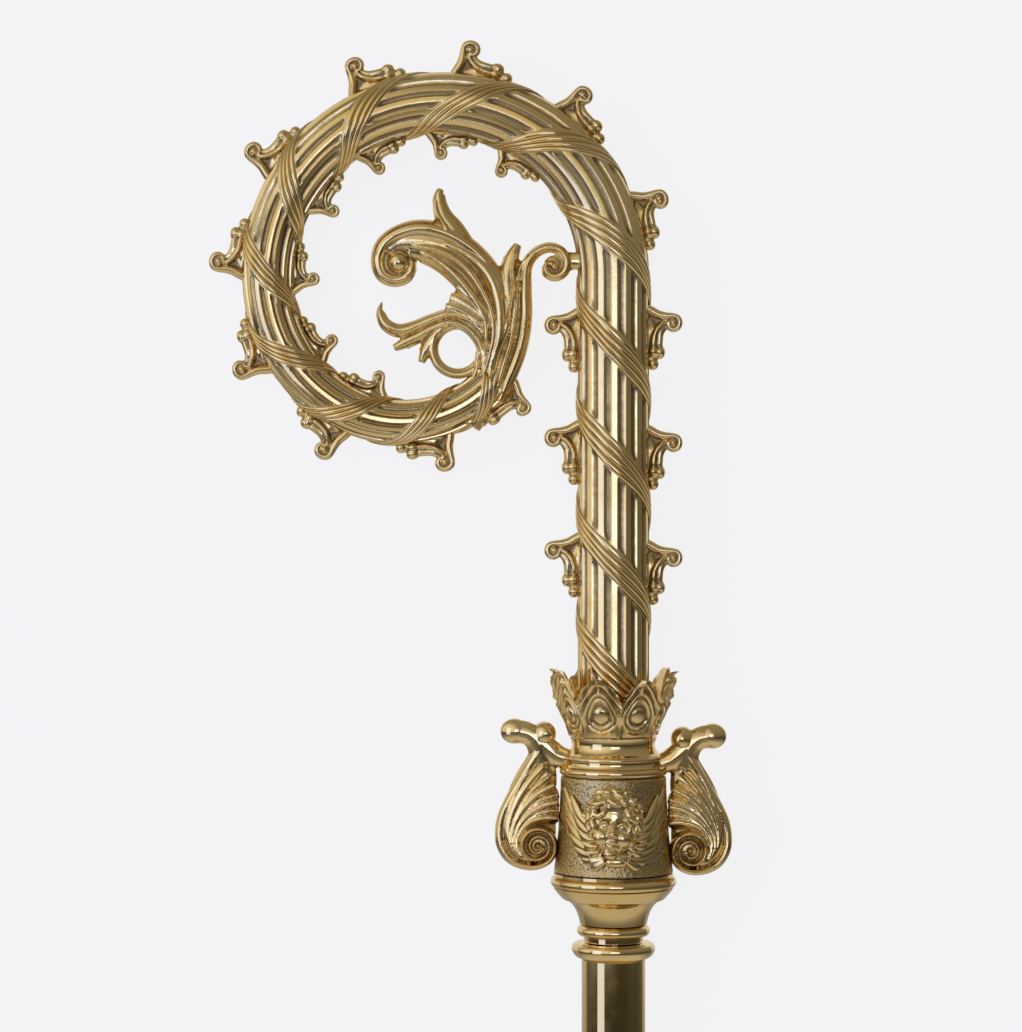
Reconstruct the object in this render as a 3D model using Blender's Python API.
"""A bishop's crosier of polished brass, lying on its back, as Blender objects.

The crosier is drawn upright, in millimetres: x to the right, y away from the viewer
and z up the staff, with z = 0 where the staff tube meets the ring under the knop.
Each piece is its own closed solid. One empty lays them all down on the floor, in metres.
"""
import math

import bmesh
import bpy
from mathutils import Matrix, Vector

MM = 0.001
GAP = 0.3
FULL_TURN = 2.0 * math.pi

# Heights of the seams between the pieces, up the staff.
FOOT_Z = -1452.0
FERRULE_TOP_Z = -1360.0
LOWER_JOINT_Z = -900.0
UPPER_JOINT_Z = -440.0
JOINT_HEIGHT = 24.0
STAFF_RING_TOP_Z = 6.6
BASE_TOP_Z = 34.4
DRUM_TOP_Z = 73.2
COLLAR_TOP_Z = 88.8
CROWN_TIP_Z = 116.0

# Radii.
STAFF_RADIUS = 12.7
JOINT_RADIUS = 15.0
FERRULE_RADIUS = 14.2
FOOT_RADIUS = 10.0
KNOP_RADIUS = 25.4
DRUM_BASE_RADIUS = 24.0
DRUM_TOP_RADIUS = 21.2
STEM_RADIUS = 15.2

# The crook's centreline: a straight stem, then arcs that tighten as they turn inwards.
STEM_LENGTH = 183.7
CROOK_ARCS = ((69.0, 189.5), (57.5, 52.0), (49.0, 76.0))
TAPER_START = 190.0
TAPER = 0.018

# Flutes and the two vines that wind round the tube, as a left-handed double helix.
FLUTES = 16
FLUTE_DEPTH = 1.5
VINE_SPACING = 43.3
VINE_SPACING_RATIO = 3.08
VINE_START = 0.076
VINE_RISE = 0.8
VINE_ROWS = (-0.14, 0.0, 0.14, 0.5)
VINE_HALF_WIDTH = 0.1
VINE_ROUNDS = 18
VINES = 2

# Crockets: where each curl stands along the centreline, and its size.
OUTER_CROCKETS = (71, 117, 165, 207, 246, 283, 319, 360, 396, 430, 465, 501, 530)
STEM_CROCKETS = (74, 119, 164)
INNER_CROCKETS = (256, 292, 328, 363, 402, 439, 474)
INNER_CROCKET_SCALE = 0.74
LAST_CROCKET_SCALE = 0.8
CROCKET_BASE_THICKNESS = 8.4
CROCKET_TIP_THICKNESS = 4.5
CROCKET_ROOT = 6.0
CURL_OUT = 8.8
CURL_RADIUS = 4.0
CURL_DEGREES = (0.0, 60.0, 120.0, 180.0, 230.0)
# The rest of a crocket's side view: along the tube towards its curl, and out from the tube.
CROCKET_WEB = ((6.0, -CROCKET_ROOT), (5.8, 0.0), (4.4, 4.4))
CROCKET_BEADS = ((-7.6, 4.2), (-9.4, 5.1), (-12.4, 5.0), (-14.0, 3.2), (-16.4, 3.1), (-18.8, 0.0))
CROCKET_HEEL = (-18.0, -CROCKET_ROOT)

# The leaves that end the crook: points of x, z and half width along each one.
VOLUTE_LEAF = (
    (-54.2, 224.8, 7.6), (-46.2, 238.4, 7.2), (-44.2, 253.2, 8.0), (-47.8, 268.0, 8.4),
    (-57.4, 280.4, 7.6), (-71.0, 287.2, 6.4), (-84.6, 288.4, 5.2), (-92.2, 283.6, 4.0),
    (-93.6, 277.6, 3.4), (-89.8, 272.4, 3.0), (-83.8, 272.8, 2.8), (-81.4, 277.2, 2.4),
)
VOLUTE_BALL_PLACE = (-86.6, 0.0, 278.4)
VOLUTE_BALL_SIZE = (3.8, 4.6, 3.8)
SPIKE_LEAF = ((-58.2, 284.8, 5.6), (-65.4, 293.2, 3.6), (-69.4, 301.2, 2.4), (-69.4, 307.6, 0.6))
INNER_LEAF = (
    (-45.4, 229.2, 3.6), (-38.2, 243.2, 3.6), (-36.2, 261.2, 3.6), (-35.4, 275.2, 3.6),
    (-31.0, 282.0, 3.2), (-25.0, 283.2, 2.8), (-21.0, 279.6, 2.4), (-23.0, 274.4, 2.0),
    (-26.6, 275.2, 1.6),
)
SMALL_LEAF = ((-40.6, 259.2, 3.6), (-40.6, 276.0, 2.8), (-37.4, 286.4, 0.6))
HORN_LEAF = (
    (-49.0, 250.4, 4.8), (-63.4, 256.0, 4.4), (-75.4, 252.8, 3.6), (-86.2, 250.8, 3.2),
    (-92.6, 255.6, 2.4), (-91.8, 261.6, 0.6),
)
UPPER_LOBE = ((-74.2, 253.2, 2.8), (-83.0, 246.8, 2.0), (-89.0, 244.0, 0.8))
LOWER_LOBE = ((-71.8, 251.2, 2.8), (-74.6, 243.2, 2.0), (-76.6, 237.6, 0.8))
INNER_LOBE = ((-49.0, 264.0, 4.6), (-62.2, 269.6, 2.0))
MIDDLE_LOBE = ((-49.0, 259.0, 5.0), (-67.4, 262.4, 2.2))
EYE_PLACE = (-62.2, 0.0, 243.6)
EYE_RADIUS = 9.8
EYE_SECTION = 2.0
EYE_STEPS = 16
STAY = ((-21.0, 280.4, 2.2), (-13.0, 280.4, 2.2))

# The crown of leaves: a cup whose rim rises to a tip at each leaf.
CROWN_LEAVES = 8
CROWN_TURN = 28.0
CROWN_LEAF_STEPS = 4
CROWN_CUP = (
    (15.7, 89.1), (17.2, 89.1), (20.6, 96.0), (22.4, 104.0),
    (25.0, 114.5), (23.4, 116.0), (19.6, 104.0), (15.8, 96.0),
)
CROWN_RIM_Z = 96.0
CROWN_NOTCH = 9.0
CROWN_BULGE = 0.8

# The scroll brackets: side view of one, out from the staff's axis and up.
BRACKET_OUTLINE = (
    (20.7, 84.8), (24.0, 87.0), (30.0, 88.0), (34.4, 84.0), (34.8, 79.2), (36.8, 74.4),
    (40.4, 69.6), (44.0, 64.0), (46.8, 57.6), (48.2, 50.4), (47.2, 44.0), (44.4, 39.2),
    (39.6, 36.0), (34.0, 34.9), (28.2, 35.8), (24.6, 39.2), (24.2, 46.0), (22.8, 69.0),
    (22.4, 75.6), (24.2, 78.4), (20.7, 81.6),
)
BRACKET_THICKNESS = 9.0
BRACKET_CHAMFER = 1.6
BRACKET_ARM = (
    (30.0, 83.0, 5.0), (33.0, 88.4, 4.6), (36.6, 90.6, 4.4),
    (40.6, 91.0, 5.0), (43.8, 90.0, 3.8), (45.0, 89.4, 1.6),
)
KNOB_PLACE = (27.6, 0.0, 89.4)
KNOB_RADIUS = 4.6
VOLUTE_EYE = (35.0, 0.0, 46.4)
VOLUTE_EYE_SIZE = (9.5, 8.5, 9.5)
RIGHT_BRACKET_DROP = 2.0

# The cherub on the drum, and the plain boss behind: place and half sizes.
HEAD_PLACE = (0.0, -20.4, 54.0)
HEAD_SIZE = (9.0, 9.0, 14.6)
WING_SIZE = (8.0, 3.0, 12.0)
WING_RADIUS = 21.4
WING_ANGLE = 42.0
WING_Z = 50.0
BOSS_SIZE = (9.0, 3.6, 12.0)
BOSS_PLACE = (0.0, 20.4, 54.0)

# Profiles for the lathe: radius and height, bottom to top.
COLLAR_PROFILE = (
    (0.0, 73.5), (21.0, 73.5), (21.7, 75.0), (20.8, 76.8), (19.4, 78.0), (20.0, 80.2),
    (19.2, 82.0), (17.6, 85.2), (17.2, COLLAR_TOP_Z), (0.0, COLLAR_TOP_Z),
)
DRUM_PROFILE = (
    (0.0, BASE_TOP_Z + GAP), (23.6, BASE_TOP_Z + GAP), (DRUM_BASE_RADIUS, 37.0),
    (DRUM_TOP_RADIUS, 71.0), (20.8, DRUM_TOP_Z), (0.0, DRUM_TOP_Z),
)
BASE_PROFILE = (
    (0.0, 6.9), (11.8, 6.9), (11.8, 8.8), (13.4, 9.6), (14.6, 12.0), (13.4, 13.8),
    (14.4, 18.4), (16.0, 21.0), (20.8, 24.8), (23.8, 28.0), (KNOP_RADIUS, 30.4),
    (KNOP_RADIUS, 33.0), (24.6, BASE_TOP_Z), (0.0, BASE_TOP_Z),
)
RING_PROFILE = (
    (0.0, GAP), (15.0, GAP), (16.5, 2.0), (16.6, 4.2), (15.4, 6.0),
    (13.0, STAFF_RING_TOP_Z), (0.0, STAFF_RING_TOP_Z),
)
# Half a joint's profile, from its waist: radius, and height above the seam.
HALF_JOINT = JOINT_HEIGHT / 2.0
JOINT_SIDE = ((13.8, 5.0), (JOINT_RADIUS, 8.5), (13.4, HALF_JOINT - GAP), (0.0, HALF_JOINT - GAP))
FERRULE_PROFILE = (
    (0.0, FOOT_Z), (FOOT_RADIUS, FOOT_Z), (11.6, FOOT_Z + 2.0),
    (13.0, FERRULE_TOP_Z - 18.3), (FERRULE_RADIUS, FERRULE_TOP_Z - 10.3),
    (FERRULE_RADIUS, FERRULE_TOP_Z - 4.3), (13.2, FERRULE_TOP_Z - GAP), (0.0, FERRULE_TOP_Z - GAP),
)

TURNED_STEPS = 20
SECTION_SIDES = 6
MERGE_DISTANCE = 0.01
FLAT_ANGLE = 0.5
SHARP_ANGLE = 35.0
BRASS = (0.72, 0.50, 0.20)
CAST_ROUGHNESS = 0.2
TURNED_ROUGHNESS = 0.15
MATTED_ROUGHNESS = 0.35

# How the crosier lies: on its foot, the knop's bead and the left side of its crook.
LYING_PITCH = 0.458
LYING_ROLL = -6.569
LYING_POSITION = (56.39, 542.5, 24.99)


def brass(name, roughness=CAST_ROUGHNESS):
    """A plain brass for one piece."""
    material = bpy.data.materials.new(name)
    material.use_nodes = True
    shader = material.node_tree.nodes["Principled BSDF"]
    shader.inputs["Base Color"].default_value = (*BRASS, 1.0)
    shader.inputs["Roughness"].default_value = roughness
    shader.inputs["Metallic"].default_value = 1.0
    return material


def solid(name, bm, material=None):
    """Turn a mesh drawn in millimetres into an object in metres."""
    bmesh.ops.remove_doubles(bm, verts=bm.verts, dist=MERGE_DISTANCE)
    bmesh.ops.recalc_face_normals(bm, faces=bm.faces)
    bmesh.ops.scale(bm, vec=(MM, MM, MM), verts=bm.verts)
    mesh = bpy.data.meshes.new(name)
    bm.to_mesh(mesh)
    bm.free()
    if material:
        mesh.materials.append(material)
        mesh.shade_smooth()
        mesh.set_sharp_from_angle(angle=math.radians(SHARP_ANGLE))
    obj = bpy.data.objects.new(name, mesh)
    bpy.context.collection.objects.link(obj)
    return obj


def unite(target, pieces):
    """Cast pieces in one with a target, by Boolean unions."""
    for piece in pieces:
        piece.hide_render = True
        piece.display_type = "WIRE"
        union = target.modifiers.new("Cast with " + piece.name, "BOOLEAN")
        union.operation = "UNION"
        union.solver = "EXACT"
        union.object = piece


def turned(name, profile, roughness=TURNED_ROUGHNESS):
    """A solid turned on the lathe: its profile of radius and height, bottom to top."""
    bm = bmesh.new()
    verts = [bm.verts.new((radius, 0.0, height)) for radius, height in profile]
    edges = [bm.edges.new(pair) for pair in zip(verts, verts[1:])]
    bmesh.ops.spin(
        bm, geom=verts + edges, axis=(0, 0, 1), cent=(0, 0, 0),
        angle=FULL_TURN, steps=TURNED_STEPS, use_merge=True,
    )
    return solid(name, bm, brass(name + " brass", roughness))


def tube_radius(s):
    """Outside radius of the crook's tube at a distance along it."""
    return STEM_RADIUS - TAPER * max(0.0, s - TAPER_START)


def centreline(s):
    """Point and heading of the crook's centreline at a distance along it."""
    start = COLLAR_TOP_Z + GAP
    point = Vector((0.0, start + min(s, STEM_LENGTH)))
    heading = math.pi / 2
    left = s - STEM_LENGTH
    if left <= 0.0:
        return Vector((0.0, start + s)), heading
    for radius, degrees in CROOK_ARCS:
        sweep = min(math.radians(degrees), left / radius)
        centre = point + radius * Vector((-math.sin(heading), math.cos(heading)))
        heading += sweep
        point = centre + radius * Vector((math.sin(heading), -math.cos(heading)))
        left -= radius * sweep
    return point + left * Vector((math.cos(heading), math.sin(heading))), heading


def crook_length():
    """Length of the crook's centreline."""
    return STEM_LENGTH + sum(radius * math.radians(sweep) for radius, sweep in CROOK_ARCS)


def off_centreline(s, out, back):
    """A point beside the centreline: out to the right or outer side, and back."""
    point, heading = centreline(s)
    across = Vector((math.sin(heading), -math.cos(heading))) * out
    return Vector((point.x + across.x, back, point.y + across.y))


def distance_at_vine(count):
    """Distance along the tube at which this many vine spacings have passed."""
    straight = TAPER_START / VINE_SPACING
    if count <= straight:
        return count * VINE_SPACING
    shrink = math.exp(-VINE_SPACING_RATIO * TAPER * (count - straight))
    return TAPER_START + STEM_RADIUS * (1.0 - shrink) / TAPER


def curvature(s):
    """How sharply the centreline bends at a distance along it, per millimetre."""
    left = s - STEM_LENGTH
    if left < 0.0:
        return 0.0
    for radius, degrees in CROOK_ARCS:
        left -= radius * math.radians(degrees)
        if left < 0.0:
            return 1.0 / radius
    return 0.0


def crook_tube():
    """The fluted tube, meshed along its vines: each row of points follows the helix."""
    bm = bmesh.new()
    along = bm.verts.layers.float.new("along")
    rows = VINE_ROUNDS * len(VINE_ROWS)
    columns = 2 * FLUTES
    limit = crook_length()
    bmesh.ops.create_grid(bm, x_segments=rows, y_segments=columns, size=0.5)
    for vert in bm.verts:
        row = round((vert.co.x + 0.5) * rows)
        column = round((vert.co.y + 0.5) * columns)
        offset = VINE_ROWS[row % len(VINE_ROWS)]
        vine = row // len(VINE_ROWS) - 1 + offset
        s = distance_at_vine(vine + VINE_START - VINES * column / columns)
        radius = tube_radius(min(s, limit))
        if abs(offset) > VINE_HALF_WIDTH:
            radius -= VINE_RISE + FLUTE_DEPTH * (column % 2)
        angle = FULL_TURN * column / columns
        vert.co = off_centreline(s, radius * math.cos(angle), radius * math.sin(angle))
        vert[along] = s
    bmesh.ops.remove_doubles(bm, verts=bm.verts, dist=MERGE_DISTANCE)
    straight = [e for e in bm.edges if max(v[along] for v in e.verts) < STEM_LENGTH]
    bmesh.ops.dissolve_limit(bm, angle_limit=math.radians(FLAT_ANGLE), verts=[], edges=straight)
    trim(bm, along, 0.0, -1.0)
    trim(bm, along, limit, 1.0)
    return solid("crook", bm, brass("crook brass"))


def trim(bm, along, limit, side):
    """Cut the tube square at a distance along it, on one side, and close the end."""
    beyond = [f for f in bm.faces if any((v[along] - limit) * side > -1.0 for v in f.verts)]
    around = {v for f in beyond for v in f.verts} | {e for f in beyond for e in f.edges}
    point = off_centreline(limit, 0.0, 0.0)
    onward = (off_centreline(limit + side, 0.0, 0.0) - point)
    bmesh.ops.bisect_plane(
        bm, geom=list(around) + beyond, plane_co=point, plane_no=onward, clear_outer=True,
    )
    rim = [e for e in bm.edges if e.is_boundary and (e.verts[0].co - point).length < 2.0 * STEM_RADIUS]
    bmesh.ops.holes_fill(bm, edges=rim, sides=0)


def crocket_outline():
    """Side view of a crocket: its web, curl and beads, down to the heel in the tube."""
    curl = []
    for degrees in CURL_DEGREES:
        turn = math.radians(degrees)
        curl.append((CURL_RADIUS * math.cos(turn), CURL_OUT + CURL_RADIUS * math.sin(turn)))
    return [*CROCKET_WEB, *curl, *CROCKET_BEADS, CROCKET_HEEL]


def add_crocket(bm, s, side, scale):
    """One crocket: its outline as a plate that thins towards the curl."""
    radius = tube_radius(s)
    stretch = 1.0 + side * (radius + CURL_RADIUS) * curvature(s)
    height = CROCKET_ROOT + CURL_OUT + CURL_RADIUS
    front = [bm.verts.new((along, out, 0.0)) for along, out in crocket_outline()]
    face = bm.faces.new(front)
    copied = bmesh.ops.extrude_face_region(bm, geom=[face], use_keep_orig=True)["geom"]
    rear = [item for item in copied if isinstance(item, bmesh.types.BMVert)]
    for verts, towards in ((front, -0.5), (rear, 0.5)):
        for vert in verts:
            along, out, _ = vert.co
            rise = (out + CROCKET_ROOT) / height
            thickness = CROCKET_BASE_THICKNESS * (1.0 - rise) + CROCKET_TIP_THICKNESS * rise
            place = s + scale * along / stretch
            vert.co = off_centreline(place, side * (radius + scale * out), towards * scale * thickness)


def crockets():
    """All the crockets of the crook, as one mesh to be cast with the tube."""
    bm = bmesh.new()
    for s in OUTER_CROCKETS[:-1]:
        add_crocket(bm, s, 1.0, 1.0)
    add_crocket(bm, OUTER_CROCKETS[-1], 1.0, LAST_CROCKET_SCALE)
    for s in STEM_CROCKETS:
        add_crocket(bm, s, -1.0, 1.0)
    for s in INNER_CROCKETS:
        add_crocket(bm, s, -1.0, INNER_CROCKET_SCALE)
    return solid("crockets", bm)


def limb(name, points, side=1.0, depth=1.0):
    """A leaf or branch in the crook's plane: points of x, z and half width, swept."""
    bm = bmesh.new()
    spine = [Vector((side * x, 0.0, z)) for x, z, _ in points]
    loops = []
    for index, (_, _, width) in enumerate(points):
        before = spine[max(index - 1, 0)]
        after = spine[min(index + 1, len(spine) - 1)]
        onward = (after - before).normalized()
        across = Vector((onward.z, 0.0, -onward.x))
        turn = Matrix((across * width, Vector((0.0, depth * width, 0.0)), onward)).transposed()
        place = Matrix.Translation(spine[index]) @ turn.to_4x4()
        ring = bmesh.ops.create_circle(bm, segments=SECTION_SIDES, radius=1.0, matrix=place)
        loops.append({e for v in ring["verts"] for e in v.link_edges})
    for lower, upper in zip(loops, loops[1:]):
        bmesh.ops.bridge_loops(bm, edges=list(lower | upper))
    bmesh.ops.holes_fill(bm, edges=list(loops[0] | loops[-1]), sides=0)
    return solid(name, bm)


def eye_ring():
    """The round ring under the leaves at the crook's end."""
    bm = bmesh.new()
    stand = Matrix.Translation((EYE_RADIUS, 0.0, 0.0))
    ring = bmesh.ops.create_circle(bm, segments=SECTION_SIDES, radius=EYE_SECTION, matrix=stand)
    section = ring["verts"]
    edges = list({e for v in section for e in v.link_edges})
    bmesh.ops.spin(
        bm, geom=section + edges, axis=(0, 1, 0), cent=(0, 0, 0),
        angle=FULL_TURN, steps=EYE_STEPS, use_merge=True,
    )
    bmesh.ops.translate(bm, vec=EYE_PLACE, verts=bm.verts)
    return solid("eye_ring", bm)


def ball(name, place, size, turn=0.0):
    """A rounded lump: a sphere of given half sizes, turned about the staff's axis."""
    bm = bmesh.new()
    bmesh.ops.create_icosphere(bm, subdivisions=2, radius=1.0)
    bmesh.ops.scale(bm, vec=size, verts=bm.verts)
    bmesh.ops.translate(bm, vec=place, verts=bm.verts)
    around = Matrix.Rotation(math.radians(turn), 3, "Z")
    bmesh.ops.rotate(bm, verts=bm.verts, cent=(0, 0, 0), matrix=around)
    return solid(name, bm)


def crook():
    """The crook, cast in one: tube, vines, crockets and the leaves at its end."""
    tube = crook_tube()
    leaves = (
        limb("volute_leaf", VOLUTE_LEAF),
        ball("volute_ball", VOLUTE_BALL_PLACE, VOLUTE_BALL_SIZE),
        limb("spike_leaf", SPIKE_LEAF),
        limb("inner_leaf", INNER_LEAF),
        limb("small_leaf", SMALL_LEAF),
        limb("horn_leaf", HORN_LEAF),
        limb("upper_lobe", UPPER_LOBE),
        limb("lower_lobe", LOWER_LOBE),
        limb("inner_lobe", INNER_LOBE),
        limb("middle_lobe", MIDDLE_LOBE),
        limb("stay", STAY),
        eye_ring(),
    )
    unite(tube, (crockets(), *leaves))
    return tube


def leaf_crown():
    """The cup of leaves that the stem stands in."""
    bm = bmesh.new()
    verts = [bm.verts.new((radius, 0.0, height)) for radius, height in CROWN_CUP]
    edges = [bm.edges.new(pair) for pair in zip(verts, verts[1:] + verts[:1])]
    bmesh.ops.spin(
        bm, geom=verts + edges, axis=(0, 0, 1), cent=(0, 0, 0),
        angle=FULL_TURN, steps=CROWN_LEAF_STEPS * CROWN_LEAVES, use_merge=True,
    )
    for vert in bm.verts:
        rise = max(0.0, (vert.co.z - CROWN_RIM_Z) / (CROWN_TIP_Z - CROWN_RIM_Z))
        angle = math.atan2(vert.co.y, vert.co.x) - math.radians(CROWN_TURN)
        leaf = math.cos(CROWN_LEAVES * angle)
        radius = math.hypot(vert.co.x, vert.co.y)
        swell = 1.0 + min(1.0, 2.0 * rise) * CROWN_BULGE * leaf / radius
        vert.co.x *= swell
        vert.co.y *= swell
        vert.co.z -= rise * CROWN_NOTCH * (1.0 - leaf) / 2.0
    return solid("leaf_crown", bm, brass("crown brass"))


def scroll_bracket(name, side, drop):
    """One scroll bracket: a chamfered plate, with its arm, knob and volute eye."""
    bm = bmesh.new()
    outline = [bm.verts.new((side * out, -BRACKET_THICKNESS / 2.0, z)) for out, z in BRACKET_OUTLINE]
    face = bm.faces.new(outline)
    copied = bmesh.ops.extrude_face_region(bm, geom=[face], use_keep_orig=True)["geom"]
    rear = [item for item in copied if isinstance(item, bmesh.types.BMVert)]
    bmesh.ops.translate(bm, vec=(0.0, BRACKET_THICKNESS, 0.0), verts=rear)
    bmesh.ops.recalc_face_normals(bm, faces=bm.faces)
    broad = [f for f in bm.faces if abs(f.normal.y) > 0.9]
    bmesh.ops.inset_individual(bm, faces=broad, thickness=BRACKET_CHAMFER, depth=BRACKET_CHAMFER)
    plate = solid(name, bm, brass(name + " brass"))
    knob = ball(name + "_knob", (side * KNOB_PLACE[0], 0.0, KNOB_PLACE[2]), (KNOB_RADIUS,) * 3)
    eye = ball(name + "_eye", (side * VOLUTE_EYE[0], 0.0, VOLUTE_EYE[2]), VOLUTE_EYE_SIZE)
    unite(plate, (limb(name + "_arm", BRACKET_ARM, side), knob, eye))
    for piece in (plate, knob, eye, bpy.data.objects[name + "_arm"]):
        piece.location.z = -drop * MM
    return plate


def knop_drum():
    """The drum of the knop, with a winged cherub in front and a plain boss behind."""
    drum = turned("knop_drum", DRUM_PROFILE, MATTED_ROUGHNESS)
    wing_place = (0.0, -WING_RADIUS, WING_Z)
    relief = (
        ball("cherub_head", HEAD_PLACE, HEAD_SIZE),
        ball("cherub_left_wing", wing_place, WING_SIZE, -WING_ANGLE),
        ball("cherub_right_wing", wing_place, WING_SIZE, WING_ANGLE),
        ball("boss", BOSS_PLACE, BOSS_SIZE),
    )
    unite(drum, relief)
    return drum


def staff_tube(name, bottom, top):
    """One length of the staff."""
    profile = ((0.0, bottom), (STAFF_RADIUS, bottom), (STAFF_RADIUS, top), (0.0, top))
    return turned(name, profile)


def joint_collar(name, middle):
    """The turned collar over a screwed joint of the staff."""
    below = [(radius, middle - height) for radius, height in reversed(JOINT_SIDE)]
    above = [(radius, middle + height) for radius, height in JOINT_SIDE]
    return turned(name, below + above)


def build():
    """Make every piece, and lay the whole crosier down."""
    lying = bpy.data.objects.new("lying", None)
    bpy.context.collection.objects.link(lying)
    crook()
    leaf_crown()
    turned("neck_collar", COLLAR_PROFILE)
    knop_drum()
    turned("knop_base", BASE_PROFILE)
    scroll_bracket("scroll_bracket_left", -1.0, 0.0)
    scroll_bracket("scroll_bracket_right", 1.0, RIGHT_BRACKET_DROP)
    turned("staff_ring", RING_PROFILE)
    staff_tube("staff_upper", UPPER_JOINT_Z + HALF_JOINT, 0.0)
    joint_collar("upper_joint_collar", UPPER_JOINT_Z)
    staff_tube("staff_middle", LOWER_JOINT_Z + HALF_JOINT, UPPER_JOINT_Z - HALF_JOINT)
    joint_collar("lower_joint_collar", LOWER_JOINT_Z)
    staff_tube("staff_lower", FERRULE_TOP_Z, LOWER_JOINT_Z - HALF_JOINT)
    turned("foot_ferrule", FERRULE_PROFILE)
    for obj in bpy.data.objects:
        if obj is not lying:
            obj.parent = lying
    lying.location = MM * Vector(LYING_POSITION)
    lying.rotation_euler = (math.radians(LYING_PITCH - 90.0), math.radians(LYING_ROLL), 0.0)


for old in list(bpy.data.objects):
    bpy.data.objects.remove(old)
build()
